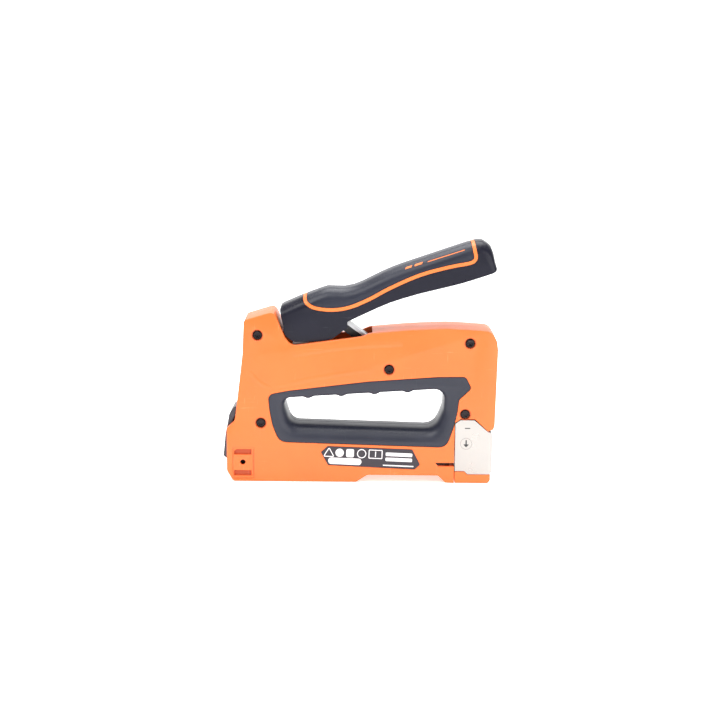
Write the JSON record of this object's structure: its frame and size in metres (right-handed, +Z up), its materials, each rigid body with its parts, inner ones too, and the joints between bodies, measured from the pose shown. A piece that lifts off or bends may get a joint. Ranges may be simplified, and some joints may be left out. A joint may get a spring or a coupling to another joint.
{
  "type": "hand staple gun",
  "caption": "Hand staple gun with a forward-squeezing lever, orange two-part housing, soft grip around the finger opening and steel nose plate.",
  "frame": {"origin": "centre of the bounding box's bottom face, on the plane that the base rests on", "axes": "+X forward to the nose, +Z up from the base, Y across the tool with its right side at -Y"},
  "size_m": [0.1887, 0.034, 0.1676],
  "materials": {
    "housing": "satin orange moulded nylon",
    "grip": "matt overmoulded soft grip",
    "label": "printed film label with plain white marks",
    "screws": "blackened steel",
    "nose_plate": "nickel-plated pressed steel",
    "nose_base": "satin orange moulded nylon",
    "inner_steel": "zinc-plated steel",
    "inner_plastic": "moulded plastic",
    "bumper": "soft stop",
    "springs": "spring steel",
    "lever_shell": "satin dark grey moulded nylon",
    "lever_cover": "matt soft cover",
    "lever_trim": "orange line",
    "black_steel": "blackened steel",
    "link": "plated steel",
    "latch": "dark moulded plastic"
  },
  "bodies": {
    "housing_body": {"right_housing": "housing", "left_housing": "housing", "right_grip": "grip", "left_grip": "grip", "label_plate": "label", "screw_horn": "screws", "screw_beam": "screws", "screw_front_top": "screws", "screw_rear": "screws", "screw_front_low": "screws", "nose_plate": "nose_plate", "nose_base": "nose_base", "driver_guide": "inner_steel", "pivot_bracket": "inner_steel", "pivot_pin": "inner_steel", "rocker_pin": "inner_steel", "spring_seat": "inner_plastic", "bumper": "bumper", "magazine_channel": "inner_steel", "power_spring": "springs"},
    "lever": {"lever_shell": "lever_shell", "lever_cover": "lever_cover", "lever_trim": "lever_trim", "lever_frame": "inner_steel", "return_spring": "springs", "link_pin": "black_steel"},
    "link": {"link": "link"},
    "rocker": {"rocker": "inner_steel", "rocker_link_pin": "black_steel"},
    "plunger": {"plunger": "black_steel", "driver_blade": "inner_steel"},
    "pusher": {"magazine_cap": "latch", "pusher_rod": "inner_steel", "latch_pin": "inner_steel", "latch_spring": "springs"},
    "latch": {"magazine_latch": "latch"},
    "follower": {"follower": "black_steel", "follower_spring": "springs"}
  },
  "joints": [
    {"name": "lever_squeeze", "type": "hinge", "parent": "housing_body", "child": "lever", "pos_m": [-0.0412, 0, 0.1088], "axis": [0, 1, 0], "range_deg": [0, 15], "stiffness_Nm_per_rad": 2, "springref_deg": -20.05, "deforming": ["return_spring"]},
    {"name": "link_swing", "type": "hinge", "parent": "lever", "child": "link", "pos_m": [-0.0125, 0, 0.1095], "axis": [0, 1, 0], "range_deg": [-15.28, 0]},
    {"name": "rocker_turn", "type": "hinge", "parent": "housing_body", "child": "rocker", "pos_m": [0.03333, 0, 0.088], "axis": [0, 1, 0], "range_deg": [-16.82, 0]},
    {"name": "plunger_lift", "type": "slide", "parent": "housing_body", "child": "plunger", "axis": [0, 0, 1], "range_m": [0, 0.01454], "deforming": ["power_spring"]},
    {"name": "pusher_slide", "type": "slide", "parent": "housing_body", "child": "pusher", "axis": [-1, 0, 0], "range_m": [0, 0.1]},
    {"name": "latch_tilt", "type": "hinge", "parent": "pusher", "child": "latch", "pos_m": [-0.0851, 0, 0.033], "axis": [0, 1, 0], "range_deg": [0, 8], "stiffness_Nm_per_rad": 0.5, "springref_deg": -11.46},
    {"name": "follower_slide", "type": "slide", "parent": "pusher", "child": "follower", "axis": [-1, 0, 0], "range_m": [0, 0.1], "stiffness_N_per_m": 60, "springref_m": -0.03, "deforming": ["follower_spring"]}
  ],
  "couplings": [
    {"joint": "link_swing", "follows": "lever_squeeze", "ratio": -0.99848},
    {"joint": "rocker_turn", "follows": "lever_squeeze", "ratio": -1.0995},
    {"joint": "plunger_lift", "follows": "lever_squeeze", "m_per_rad": 0.054431}
  ]
}
